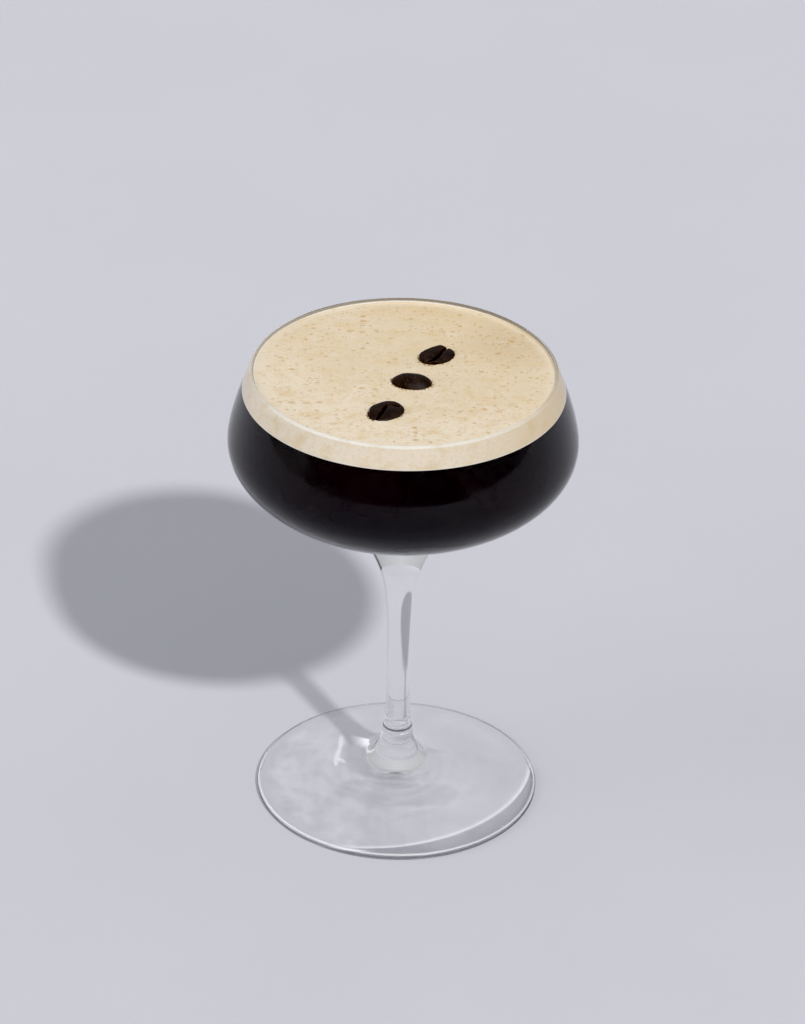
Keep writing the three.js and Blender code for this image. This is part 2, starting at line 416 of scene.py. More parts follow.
coupe = {
    "height": 139.4,
    "rimRadius": 43.75,
    "lip": 1.1,  # its width
    "lipDrop": 0.6,  # how far down its rounding reaches
    "wall": 1.05,
    "bellyRadius": 50,
    "bellyHeight": 117.4,
    "turnRadius": 22.95,  # where the bowl's base turns into the flare
    "turnHeight": 94.06,
    "baseThickness": 1.35,
    "floorHeight": 90.9,
    "flareRadius": 10.5,
    "flareHeight": 84,
    "stemRadius": 3.42,
    "stemHeight": 44,
    "collarRadius": 4.1,  # where the joint ring ends
    "collarHeight": 21,
    "ringBulge": 0.3,
    "ringHeight": 1.8,
    "bossRadius": 9.2,
    "bossHeight": 10,
    "footRadius": 41.2,
    "footEdge": 1.95,
    "footHollow": 4.6,
    "restInner": 37.6,  # the flat ring that it stands on
    "restOuter": 40,
    "segments": 288,
    "ripple": 0.012,  # unevenness of the drawn foot
    "rippleLength": 12,
    "rippleFrom": (8, 14),  # radii between which it sets in
    "rippleBelow": 9,
    "refraction": 1.47,
    "tints": ((0.985, 0.99, 0.988), (0.995, 0.998, 0.997)),
    "tintClouds": 60,  # to a metre
    "scattered": (0.97, 0.975, 0.975),  # what scattered light keeps on its way through
    # a painted dark reflection, as a thin line round the joint ring: height, half width, share and core
    "paintedRingLine": (20.79, 0.42, 0.95, 0.4),
    "paintedRingDark": (0.03, 0.03, 0.04),
    # the foot's rim, drawn as a thin clear sheet with painted highlight lines and a painted dark line
    "rim": {
        "share": 0.96,
        "outside": (39.5, 40.3),  # radii between which it sets in
        "underOutside": (36.0, 37.0),  # and below, where what comes through the rim leaves
        "underBelow": (0.9, 0.6),  # heights between which that sets in
        "below": (5, 4),  # and the rim itself
        "tone": (0.45, 0.9, 1.0, 0.25),  # from one slant to another: how clear it is, painted darker where it slants away
        "shine": (0.55, 1.0, 0.03, 0.35),  # and how shiny
        "blur": 0.3,
        # painted highlights: a pale line on its upper and lower bends, and a painted dark line between, as
        # the ring's painted dark line is given
        "lines": ((1.8, 0.2, 0.5, 0.2), (0.3, 0.2, 0.5, 0.2), (1.05, 0.42, 0.4, 0.2)),
        "linesOutside": (40.1, 40.35),
        "paintedHighlight": (0.95, 0.95, 0.97),
    },
    # the share of a lamp's light that goes through one surface
    "lamp": {
        "faceOn": 0.95,
        "sideways": 0.55,
        "slants": (0.25, 0.8),  # from face on to sideways
        "stem": 0.5,
        "stemFrom": (10, 14),  # heights between which the stem's share sets in and ends
        "stemTo": (82, 76),
        "footTo": (9.5, 8.0),
        "edge": 0.6,  # how much darker the foot's edge is
        "edgeFrom": (0.95, 0.6),  # in from it
        "underHeight": 7,  # a cone that parts the foot's underside from its top
        "underSlope": 0.149,
        "ripple": (-0.06, 0.12),  # from darkest to brightest
        "rippleClouds": 75,
        "mottle": 0.13,
        "mottleClouds": 210,
        "mottleLeft": (12, -22, 0.25, 1),  # fuller from one X to another
        "rings": (36, 12, 0, 0.06),  # stronger from one radius to another
        "ringTurn": 1.35,  # radians to a millimetre
        "ringWander": 9,  # how far they stray
        "ringClouds": 60,
        "fade": (39.5, 36.5),  # radii between which ripples, mottles and rings set in
        "crescent": (-8.4, 11.9, 48.4),  # a circle: its middle and radius
        "crescentDark": (-0.15, 0.35, 0, 0.55),  # darker outside it, from its edge
        "crescentLine": (-1.6, -0.3, 0, 0.7),  # and a bright line along the inside
        "crescentLineEnd": (0.1, -0.1),
        "pool": (2.5, -9.5, 19, 8),  # in front of the boss: its middle and half sizes
        "poolDark": (1.02, 0.8, 0, 0.17),  # in shares of those sizes
        "poolGlow": (1.35, 1.1, 0, 0.08),
        "poolGlowEnd": (0.95, 1.08),
        "poolWander": (-0.18, 0.18),
        "poolClouds": 130,
        # light gathered beside the boss, in three strokes
        "strokes": (
            ((-15.2, 18.6), (-14.4, 11.4)),
            ((-14.4, 11.4), (-15.4, 2.6)),
            ((-14.6, 5.8), (-11.8, 4.2)),
        ),
        "stroke": (0.45, 0, 0, 0.9),  # from nothing beside a stroke to most along it
    },
}


def footOutline(g):
    r, e = g["footRadius"], g["footEdge"]
    return (
        bend((0, g["footHollow"]), (13, g["footHollow"]), (27, 1.1), (g["restInner"], 0), 34)
        + bend((g["restInner"], 0), (38.4, 0), (39.2, 0), (g["restOuter"], 0), 5)
        + bend((g["restOuter"], 0), (r - 0.4, 0), (r, 0.4), (r, e / 2), 7)
        + bend((r, e / 2), (r, 1.6), (r - 0.4, 1.9), (r - 0.9, e), 7)
        + bend((r - 0.9, e), (28, 4.05), (15.5, 6.9), (g["bossRadius"], g["bossHeight"]), 52)
    )


def stemOutline(g):
    c, z = g["collarRadius"], g["collarHeight"]
    foot = z - g["ringHeight"]
    middle = (c + g["ringBulge"], z - g["ringHeight"] / 2)
    bossTop = (c + 0.25, foot - 0.6)
    return (
        bend((g["bossRadius"], g["bossHeight"]), (7.2, 11.4), (4.7, 15), bossTop, 18)
        + bend(bossTop, (c + 0.1, foot - 0.4), (c, foot - 0.2), (c, foot), 4)
        + bend((c, foot), (middle[0], foot), (middle[0], foot + 0.4), middle, 6)
        + bend(middle, (middle[0], z - 0.4), (c + 0.05, z - 0.1), (c - 0.05, z + 0.3), 7)
        + bend((c - 0.05, z + 0.3), (3.15, 28), (3.3, 38), (g["stemRadius"], g["stemHeight"]), 22)
        + bend((g["stemRadius"], g["stemHeight"]), (g["stemRadius"], 64.2), (3.65, 72.3),
               (g["flareRadius"], g["flareHeight"]), 40)
    )


def bowlOutside(g):
    r, z = g["bellyRadius"], g["bellyHeight"]
    top = (g["rimRadius"], g["height"] - g["lipDrop"])
    return (
        bend((g["flareRadius"], g["flareHeight"]), (12.8, 87.9), (17.8, 92.1),
             (g["turnRadius"], g["turnHeight"]), 20)
        + bend((g["turnRadius"], g["turnHeight"]), (39.6, 100.5), (r, z - 10.1), (r, z), 44)
        + bend((r, z), (r, z + 5.3), (top[0] + 2.3, top[1] - 5.2), top, 30)
    )


def lip(g):
    r, h, w = g["rimRadius"], g["height"], g["lip"]
    low = h - g["lipDrop"]
    return (
        bend((r, low), (r, h - 0.25), (r - 0.2, h), (r - w / 2, h), 8)
        + bend((r - w / 2, h), (r - w + 0.2, h), (r - w, h - 0.25), (r - w, low), 8)
    )


# The bowl's inner wall from the lip to the axis; a negative inset reaches into the glass.
def bowlInside(g, inset=0.0):
    top = (g["rimRadius"] - g["lip"] - inset, g["height"] - g["lipDrop"])
    belly = (g["bellyRadius"] - g["wall"] - inset, g["bellyHeight"])
    base = g["baseThickness"] + inset
    turn = (g["turnRadius"] - 0.36 * base, g["turnHeight"] + 0.93 * base)
    bottom = g["floorHeight"] + inset
    return (
        bend(top, (top[0] + 2.15, top[1] - 5.1), (belly[0], belly[1] + 5.3), belly, 40)
        + bend(belly, (belly[0], belly[1] - 9.9), (turn[0] + 16.3, turn[1] + 6.3), turn, 44)
        + bend(turn, (turn[0] - 8.4, turn[1] - 3.2), (6.5, bottom), (0, bottom), 20)
        + [(0.0, bottom)]
    )


# The foot of a drawn glass is never quite even: slow ripples, none where it stands.
def ripple(vertices, g):
    start, full = g["rippleFrom"]
    end = g["restInner"]
    for p in vertices:
        reach = math.hypot(p[0], p[1])
        if p[2] < g["rippleBelow"] and start < reach < end:
            fade = smoothStep(start, full, reach) * (1 - smoothStep(end - 4, end, reach))
            where = Vector((p[0], p[1], p[2] * 4)) / g["rippleLength"]
            p[2] += g["ripple"] * float(fade) * (noise.noise(where) + 0.5 * noise.noise(where * 2.1))


# Soft ripples, mottles and rings in the light under the foot, around 1.
def lampRipples(tree, place, x, reach, lamp):
    waves = ramp(tree, noiseNode(tree, place, lamp["rippleClouds"], 2, 0.55), 0.3, 0.7, *lamp["ripple"])
    spots = noiseNode(tree, place, lamp["mottleClouds"], 3, 0.6)
    mottle = ramp(tree, spots, 0.35, 0.65, -lamp["mottle"], lamp["mottle"])
    mottle = mathNode(tree, "MULTIPLY", mottle, ramp(tree, x, *lamp["mottleLeft"]))
    wander = ramp(tree, noiseNode(tree, place, lamp["ringClouds"], 2), 0, 1, 0, lamp["ringWander"])
    turn = mathNode(tree, "MULTIPLY", mathNode(tree, "ADD", reach, wander), lamp["ringTurn"])
    rings = mathNode(tree, "MULTIPLY", mathNode(tree, "SINE", turn), ramp(tree, reach, *lamp["rings"]))
    ripples = mathNode(tree, "ADD", waves, mottle, rings)
    return mathNode(tree, "ADD", mathNode(tree, "MULTIPLY", ripples, ramp(tree, reach, *lamp["fade"])), 1)


# The bright line along the crescent, and the dark outside it.
def lampCrescent(tree, inMm, lamp):
    x, y, radius = lamp["crescent"]
    out = mathNode(tree, "SUBTRACT", planDistance(tree, inMm, x, y), radius)
    line = mathNode(tree, "MULTIPLY", ramp(tree, out, *lamp["crescentLine"]),
                    ramp(tree, out, *lamp["crescentLineEnd"]))
    return line, ramp(tree, out, *lamp["crescentDark"])


# The glow round the pool in front of the boss, and the dark of the pool.
def lampPool(tree, place, inMm, lamp):
    x, y, halfLong, halfWide = lamp["pool"]
    within = planDistance(tree, inMm, x, y, (1 / halfLong, 1 / halfWide))
    wander = ramp(tree, noiseNode(tree, place, lamp["poolClouds"], 2), 0.2, 0.8, *lamp["poolWander"])
    within = mathNode(tree, "ADD", within, wander)
    glow = mathNode(tree, "MULTIPLY", ramp(tree, within, *lamp["poolGlowEnd"]),
                    ramp(tree, within, *lamp["poolGlow"]))
    return glow, ramp(tree, within, *lamp["poolDark"])


# A soft stroke of light between two points, from how far round the way by its ends is.
def lampStroke(tree, inMm, start, end, lamp):
    both = mathNode(tree, "ADD", planDistance(tree, inMm, *start), planDistance(tree, inMm, *end))
    return ramp(tree, mathNode(tree, "SUBTRACT", both, math.dist(start, end)), *lamp["stroke"])


# What lamps send through the glass: less through the stem and by the foot's edge, and drawn out
# under the foot in ripples and strokes, as in the light that a real foot gathers below it.
def lampColour(tree, place, inMm, g):
    lamp = g["lamp"]
    x, _, z = partsOf(tree, inMm)
    reach = planDistance(tree, inMm)
    facing = add(tree, "ShaderNodeLayerWeight", _Blend=0.5).outputs["Facing"]
    side = ramp(tree, facing, *lamp["slants"], lamp["faceOn"], lamp["sideways"])
    onStem = mathNode(tree, "MULTIPLY", ramp(tree, z, *lamp["stemFrom"]), ramp(tree, z, *lamp["stemTo"]))
    above = mixNumber(tree, onStem, side, lamp["stem"])

    line, outside = lampCrescent(tree, inMm, lamp)
    glow, pool = lampPool(tree, place, inMm, lamp)
    strokes = [lampStroke(tree, inMm, *ends, lamp) for ends in lamp["strokes"]]
    ripples = lampRipples(tree, place, x, reach, lamp)
    below = mathNode(tree, "ADD", ripples, mathNode(tree, "ADD", line, glow), *strokes)
    below = mathNode(tree, "SUBTRACT", below, mathNode(tree, "ADD", outside, pool))
    cone = mathNode(tree, "ADD", z, mathNode(tree, "MULTIPLY", reach, lamp["underSlope"]))
    under = mathNode(tree, "LESS_THAN", cone, lamp["underHeight"])
    foot = mixNumber(tree, under, lamp["faceOn"], below)
    edge = ramp(tree, reach, *(g["footRadius"] - v for v in lamp["edgeFrom"]))
    foot = mathNode(tree, "SUBTRACT", foot, mathNode(tree, "MULTIPLY", edge, lamp["edge"]))
    return grey(tree, mixNumber(tree, ramp(tree, z, *lamp["footTo"]), above, foot))


# The rounded rim of the foot, without the broken images that such a tight bend gives: a clear sheet painted
# darker where it slants, with painted highlight lines on its bends and a painted dark line between.
def clearRim(tree, inMm, surface, rim):
    z = partsOf(tree, inMm)[2]
    reach = planDistance(tree, inMm)
    under = mathNode(tree, "MULTIPLY", ramp(tree, reach, *rim["underOutside"]),
                     ramp(tree, z, *rim["underBelow"]))
    near = mathNode(tree, "MAXIMUM", ramp(tree, reach, *rim["outside"]), under)
    share = mathNode(tree, "MULTIPLY", near, rim["share"], ramp(tree, z, *rim["below"]))
    outer = ramp(tree, reach, *rim["linesOutside"])
    # painted highlight lines along the rim's bends, and a painted dark line between them
    paintedUpperHighlight, paintedLowerHighlight, dark = (mathNode(tree, "MULTIPLY", lineAt(tree, z, *line), outer) for line in rim["lines"])
    facing = add(tree, "ShaderNodeLayerWeight", _Blend=0.5).outputs["Facing"]
    tone = mathNode(tree, "SUBTRACT", ramp(tree, facing, *rim["tone"]), dark)
    shine = add(tree, "ShaderNodeBsdfGlossy", _Roughness=rim["blur"])
    # a white diffuse surface that draws the painted highlight lines
    paintedHighlight = add(tree, "ShaderNodeBsdfDiffuse", _Color=(*rim["paintedHighlight"], 1))
    sheet = mixShader(tree, ramp(tree, facing, *rim["shine"]), clearShader(tree, grey(tree, tone)),
                      shine.outputs[0])
    sheet = mixShader(tree, mathNode(tree, "ADD", paintedUpperHighlight, paintedLowerHighlight), sheet, paintedHighlight.outputs[0])
    return mixShader(tree, share, surface, sheet)


def glassMaterial(g):
    fixed = {"Transmission Weight": 1, "Roughness": 0, "IOR": g["refraction"]}
    material, tree, shader, place = newMaterial("clearGlass", fixed)
    inMm = millimetres(tree, place)
    tint = mixColour(tree, noiseNode(tree, place, g["tintClouds"], 2), *g["tints"])
    # a painted dark reflection round the joint ring, put into the glass's colour
    ring = lineAt(tree, partsOf(tree, inMm)[2], *g["paintedRingLine"])
    link(tree, mixColour(tree, ring, tint, g["paintedRingDark"]), shader.inputs["Base Color"])
    surface = clearRim(tree, inMm, shader.outputs[0], g["rim"])
    # lamps and scattered light pass straight through, so that what the glass holds is lit
    path = add(tree, "ShaderNodeLightPath").outputs
    surface = mixShader(tree, path["Is Diffuse Ray"], surface, clearShader(tree, g["scattered"]))
    lit = clearShader(tree, lampColour(tree, place, inMm, g))
    surface = mixShader(tree, path["Is Shadow Ray"], surface, lit)
    link(tree, surface, tree.nodes["Material Output"].inputs["Surface"])
    return material


def makeGlass(g):
    outline = footOutline(g) + stemOutline(g) + bowlOutside(g) + lip(g) + bowlInside(g)
    vertices, faces = turned(outline, g["segments"])
    ripple(vertices, g)
    piece("coupe_glass", vertices, faces, glassMaterial(g), "glass")


makeGlass(coupe)
print("glass turned")


# The coffee, up to the foam, just into the wall of the glass

drink = {
    "level": 132.7,
    "intoWall": -0.06,
    "segments": 288,
    "topRings": (0.97, 0.7, 0.35),  # shares of its radius
    "dark": (0.0016, 0.0005, 0.0004),
    "brown": (0.0034, 0.0009, 0.0006),
    "clouds": 45,  # to a metre
    "roughness": 0.02,
    "refraction": 1.13,  # coffee against glass, not against air
}


# The bowl's inner wall between two heights, from low to high, cut exactly at both.
def wallBetween(low, high, inset):
    gap = 0.05  # no point of the wall is kept nearer to a cut
    wall = bowlInside(coupe, inset)[::-1]
    radii = [p[0] for p in wall]
    heights = [p[1] for p in wall]
    inside = [p for p in wall if low + gap < p[1] < high - gap]
    ends = [(float(np.interp(z, heights, radii)), z) for z in (low, high)]
    return [ends[0], *inside, ends[1]]


def coffeeMaterial(d):
    fixed = {"Roughness": d["roughness"], "IOR": d["refraction"]}
    material, tree, shader, place = newMaterial("blackCoffee", fixed)
    cloud = ramp(tree, noiseNode(tree, place, d["clouds"], 3), 0.35, 0.65)
    link(tree, mixColour(tree, cloud, d["dark"], d["brown"]), shader.inputs["Base Color"])
    return material


def makeCoffee(d):
    wall = bowlInside(coupe, d["intoWall"])
    bottom = wall[-1][1]
    outline = [(0.0, bottom)] + wallBetween(bottom + 0.001, d["level"], d["intoWall"])[1:]
    outline += [(outline[-1][0] * share, d["level"]) for share in d["topRings"]] + [(0.0, d["level"])]
    vertices, faces = turned(outline, d["segments"])
    piece("black_coffee", vertices, faces, coffeeMaterial(d), "coffee")


makeCoffee(drink)
print("coffee filled")


# The beans: place on the foam, plan turn, tilts, and the course of the crease along and across

beans = {
    "bean_front": {
        "x": -5.1, "y": -22.8, "turn": 38, "roll": 6, "pitch": -2, "lift": 0.35,
        "length": 11.1, "width": 8.3, "thickness": 4.8, "faceUp": True, "seed": 3,
        "grain": 0.085, "taper": 0.03, "cuts": [(-0.75, 0.66, 4.3)],
        "crease": [(-4.9, -2.0), (-3.2, -1.3), (-0.2, 0.4), (1.9, 1.6), (3.0, 0.9), (4.1, -0.5)],
    },
    "bean_middle": {
        "x": 2.05, "y": -5.15, "turn": -7, "roll": 0, "pitch": 2, "lift": -0.95,
        "length": 11.9, "width": 8.3, "thickness": 4.9, "faceUp": False, "seed": 8,
        "grain": 0.03, "taper": 0.16, "cuts": [(1.0, 0.1, 5.5)],
        "crease": [(-5.6, -0.2), (-2, 0.4), (1.5, -0.3), (5.6, 0.2)],
    },
    "bean_back": {
        "x": 9.05, "y": 10.25, "turn": 46, "roll": 9, "pitch": 2, "lift": 0.5,
        "length": 11.3, "width": 8.5, "thickness": 4.8, "faceUp": True, "seed": 5,
        "grain": 0.1, "taper": 0.05, "cuts": [(0.06, 1.0, 2.75), (0.85, 0.5, 4.5), (-0.6, -0.8, 4.1)],
        "crease": [(-5.2, -1.2), (-2.8, -1.7), (0, -1.0), (2.2, 0.1), (5.4, 0.7)],
    },
}
beanLook = {
    "rings": 104,
    "sides": 150,
    "flatShare": 0.28,  # of the thickness, on the creased side
    "girthPower": 0.86,  # under 1 is blunter at the ends
    "flatPowers": (0.55, 0.7),  # under 1 is flatter, across and along
    "creaseDepth": 1.05,
    "creaseWidth": 0.26,
    "dishDepth": 0.3,
    "dishWidth": 1.5,
    "lump": 0.13,
    "lumpLength": 2.6,
    "grainTurns": (0.5, 1.9, 1.9),  # finer across than along
    "cutShare": 0.8,
    "dark": (0.0085, 0.0045, 0.0035),
    "brown": (0.026, 0.014, 0.0095),
    "flake": (0.20, 0.15, 0.115),
    "blotches": 420,  # to a metre
    "pores": 2600,
    "flakes": 1700,
    "dull": (0.5, 0.68),
    "shine": 0.3,
    "poreDepth": 0.16,
}


# Distance of each (x, y) from a course of straight runs.
def toCourse(points, course):
    best = np.full(len(points), 1e9)
    for a, b in zip(course, course[1:]):
        a, b = np.array(a), np.array(b)
        run = b - a
        t = np.clip(((points - a) @ run) / (run @ run), 0, 1)
        best = np.minimum(best, np.linalg.norm(points - (a + t[:, None] * run), axis=1))
    return best


# The crease's points joined by a smooth curve.
def softCourse(course, steps=10):
    corners = [course[0], *course, course[-1]]
    made = []
    for p0, p1, p2, p3 in zip(corners, corners[1:], corners[2:], corners[3:]):
        p0, p1, p2, p3 = (np.array(p, float) for p in (p0, p1, p2, p3))
        for i in range(steps):
            t = i / steps
            made.append(0.5 * (2 * p1 + (p2 - p0) * t + (2 * p0 - 5 * p1 + 4 * p2 - p3) * t * t
                               + (3 * p1 - p0 - 3 * p2 + p3) * t ** 3))
    return made + [np.array(course[-1], float)]


# A bean about its own middle, flat side to +Z, longest along X.
def beanShape(b, look):
    rings, sides = look["rings"], look["sides"]
    lengthAngle = np.linspace(-math.pi / 2, math.pi / 2, rings + 1)[1:-1]
    around = np.arange(sides) * 2 * math.pi / sides
    a, c = np.meshgrid(lengthAngle, around, indexing="ij")
    along, girth = np.sin(a), np.cos(a) ** look["girthPower"]
    rise = np.sin(c)
    acrossPower, alongPower = look["flatPowers"]
    flat = b["thickness"] * look["flatShare"]
    dome = b["thickness"] - flat
    x = along * b["length"] / 2
    y = np.cos(c) * girth * b["width"] / 2 * (1 + b["taper"] * along)
    z = np.where(rise > 0, flat * np.abs(rise) ** acrossPower * girth ** alongPower, dome * rise * girth)
    body = np.stack([x, y, z], -1).reshape(-1, 3)
    ends = np.array([(-b["length"] / 2, 0, 0), (b["length"] / 2, 0, 0)])
    vertices = np.vstack([body, ends])
    for nx, ny, reach in b["cuts"]:
        n = np.array([nx, ny]) / math.hypot(nx, ny)
        over = np.clip(vertices[:, :2] @ n - reach, 0, None)
        vertices[:, :2] -= (over * look["cutShare"])[:, None] * n

    course = softCourse(b["crease"])
    far = toCourse(vertices[:, :2], course)
    up = vertices[:, 2] > 0
    groove = look["creaseDepth"] * np.exp(-(far / look["creaseWidth"]) ** 2)
    dish = look["dishDepth"] * np.exp(-(far / look["dishWidth"]) ** 2)
    room = np.clip(vertices[:, 2] / flat, 0, 1) ** 0.5
    vertices[:, 2] -= np.where(up, (groove + dish) * room, 0)

    shift = Vector((b["seed"] * 7.3, b["seed"] * 3.1, 0))
    for i, p in enumerate(vertices):
        here = Vector(p)
        lump = noise.noise(here / look["lumpLength"] + shift)
        grain = noise.noise(Vector([v * turn for v, turn in zip(here, look["grainTurns"])]) + shift)
        vertices[i] += np.array(here.normalized()) * (look["lump"] * lump + b["grain"] * grain)

    first, last = len(body), len(body) + 1
    faces = []
    for i in range(sides):
        j = (i + 1) % sides
        faces.append((first, j, i))
        for ring in range(rings - 2):
            low, high = ring * sides, (ring + 1) * sides
            faces.append((low + i, low + j, high + j, high + i))
        top = (rings - 2) * sides
        faces.append((top + i, top + j, last))
    return vertices, faces


def beanPlace(b):
    tip = math.radians(b["roll"] + (0 if b["faceUp"] else 180))
    turn = Matrix.Rotation(math.radians(b["turn"]), 3, "Z")
    pitch = Matrix.Rotation(math.radians(b["pitch"]), 3, "Y")
    roll = Matrix.Rotation(tip, 3, "X")
    return np.array(turn @ pitch @ roll), np.array([b["x"], b["y"], foam["level"] + b["lift"]])


def beanMaterial(look):
    material, tree, shader, place = newMaterial("darkRoast", {"Specular IOR Level": look["shine"]})
    blotch = noiseNode(tree, place, look["blotches"], 4, 0.6)
    fine = noiseNode(tree, place, look["pores"], 3, 0.6)
    both = mathNode(tree, "ADD", mathNode(tree, "MULTIPLY", blotch, 0.7),
                    mathNode(tree, "MULTIPLY", fine, 0.3))
    colour = mixColour(tree, ramp(tree, both, 0.36, 0.66), look["dark"], look["brown"])
    flakes = ramp(tree, noiseNode(tree, place, look["flakes"], 1, 0.5), 0.7, 0.78, 0, 0.5)
    link(tree, mixColour(tree, flakes, colour, look["flake"]), shader.inputs["Base Color"])
    link(tree, ramp(tree, blotch, 0.3, 0.7, *look["dull"]), shader.inputs["Roughness"])
    bump(tree, shader, fine, 0.5, look["poreDepth"])
    return material


# The foam: its top is a fine sheet with bubbles pressed in, its side reaches into the wall

foam = {
    "level": 138.15,
    "bottom": 132.7,
    "intoWall": -0.06,
    "cells": 286,  # across the sheet
    "climb": 0.95,  # how far the drawn foam climbs the wall at the front
    "climbBack": 0.3,  # share of that at the back
    "climbTurn": (0.4, -0.3),  # from back to front, in shares of its radius
    "climbWidth": 1.6,  # in from the wall, where it has come down to a hundredth
    "swells": ((0.07, 14, 2.0), (0.035, 1.9, 5.0), (0.02, 0.8, 9.0)),  # height, length, noise layer
    "seed": 41,
    "bubbles": 330,
    "bubbleSize": (0.24, 0.4, 3.5),  # least radius, what large ones add, and how rare they are
    "bubbleDepth": (0.1, 0.3),  # share of the radius
    "bubbleHollow": 0.75,
    "bubbleLip": (0.12, 1.1, 0.3),  # its raised edge: height, place and width
    "bubbleMargin": 1.5,  # none is nearer to the wall
    "frontShare": 0.45,  # share of them at the front left
    "crowdSpan": (-30, 38),  # from the front left to the back right
    "oldBubbles": 60,  # larger ones, in the darker froth
    "oldSpread": 8.5,
    "oldSize": (0.34, 0.42, 2),
    "oldDepth": 0.15,
    "beanRise": (0.2, 0.12),  # the foam's lift round a bean: height, and width as a share of it
    "beanHole": 0.93,  # share of a bean's outline within which the foam lies under it
    "beanGap": 0.12,
    "stainWidth": 0.2,
    "cream": (0.70, 0.585, 0.425),
    "pale": (0.745, 0.655, 0.525),
    "tan": (0.665, 0.525, 0.325),
    "speck": (0.50, 0.30, 0.115),
    "deep": (0.16, 0.085, 0.04),
    "dim": (0.585, 0.465, 0.315),  # painted soft shade over the froth at the back right
    "dimAt": (32, 20),
    "skin": (0.77, 0.745, 0.675),  # the film on the glass
    "side": (0.885, 0.885, 0.90),  # painted shade: how much darker the side is drawn, seen through the glass
    "paleTowards": (-0.35, -0.94, 0),
    "paleSlope": 0.009,
    # layers of colour over the cream: what a layer follows, where it sets in and is full, its
    # share there, and its colour
    "layers": (
        ("drift", 0.35, 0.85, 1.0, "pale"),
        ("drift", 0.35, 0.05, 0.8, "tan"),
        # the painted soft shade at the back right
        ("froth", 21, 4, 0.75, "dim"),
        ("patch", 0.46, 0.7, 0.75, "tan"),
        ("patch", 0.44, 0.26, 0.6, "pale"),
        ("fine", 0.44, 0.72, 0.6, "tan"),
    ),
    "clouds": {"drift": 30, "crowd": 62, "patch": 230, "stray": 900, "blots": 1150, "fine": 1250},
    "roughness": 0.6,
    "shine": 0.25,
    "poreDepth": 0.12,
    # three sizes of fine bubbles: cell, the share of it that the largest fill, how rare they are,
    # and how strongly they show
    "fineBubbles": ((2.7, 0.34, 2.7, 0.9), (1.4, 0.43, 2.3, 0.8), (0.72, 0.5, 1.9, 0.6)),
    "wide": (0.7, 1, 1),  # patterns are longer along X
    "ragged": 0.45,  # how far a bubble's outline strays
    "sideFrom": (42.25, 42.45),
    "sideShadeByX": (-42, -28, 0.3, 1),  # how much of the side's painted shade there is, by X
    "warmRight": (10, 40, 0, 0.45),
    "edgeFrom": (39.5, 42.3, 0, 0.5),  # the top is paler towards the wall
    "filmAbove": (0.1, 0.45),  # heights over the level
    "filmOutside": (40.5, 41.5),
    "filmAcross": (5, 36, 0.95, 0.5),
    "filmPatches": (0.66, 0.5, 0.6, 1),
    "footLine": (0.45, 0, 0, 0.8),  # the pale line just over its bottom
}


# Points of an even sheet over a disc of radius 1, in rows, with its faces and its edge.
def discSheet(side):
    u = np.linspace(-1, 1, side + 1)
    a, b = np.meshgrid(u, u, indexing="ij")
    wide = np.abs(a) > np.abs(b)
    radius = np.where(wide, a, b)
    with np.errstate(divide="ignore", invalid="ignore"):
        angle = np.where(wide, math.pi / 4 * b / a, math.pi / 2 - math.pi / 4 * a / b)
    angle = np.nan_to_num(angle)
    x, y = radius * np.cos(angle), radius * np.sin(angle)
    n = side + 1
    faces = [(i * n + j, (i + 1) * n + j, (i + 1) * n + j + 1, i * n + j + 1)
             for i in range(side) for j in range(side)]
    low, high = range(0, side), range(side, 0, -1)
    edge = ([i * n for i in low] + [side * n + j for j in low]
            + [i * n + side for i in high] + [j for j in high])
    return np.stack([x.ravel(), y.ravel()], -1), faces, edge


# Seeded bubbles as (x, y, radius, depth): mostly small, thicker towards the back right.
def bubbleList(f, reach):
    draw = random.Random(f["seed"])
    made = []
    least, more, rare = f["bubbleSize"]
    while len(made) < f["bubbles"]:
        angle, out = draw.uniform(0, 2 * math.pi), reach * math.sqrt(draw.random())
        x, y = out * math.cos(angle), out * math.sin(angle)
        crowd = smoothStep(*f["crowdSpan"], 0.7 * x + 0.7 * y)
        if draw.random() > f["frontShare"] + (1 - f["frontShare"]) * crowd:
            continue
        size = least + more * draw.random() ** rare
        made.append((x, y, size, size * draw.uniform(*f["bubbleDepth"])))
    least, more, rare = f["oldSize"]
    for _ in range(f["oldBubbles"]):
        x, y = (draw.gauss(v, f["oldSpread"]) for v in f["dimAt"])
        size = least + more * draw.random() ** rare
        if math.hypot(x, y) < reach:
            made.append((x, y, size, size * f["oldDepth"]))
    return made


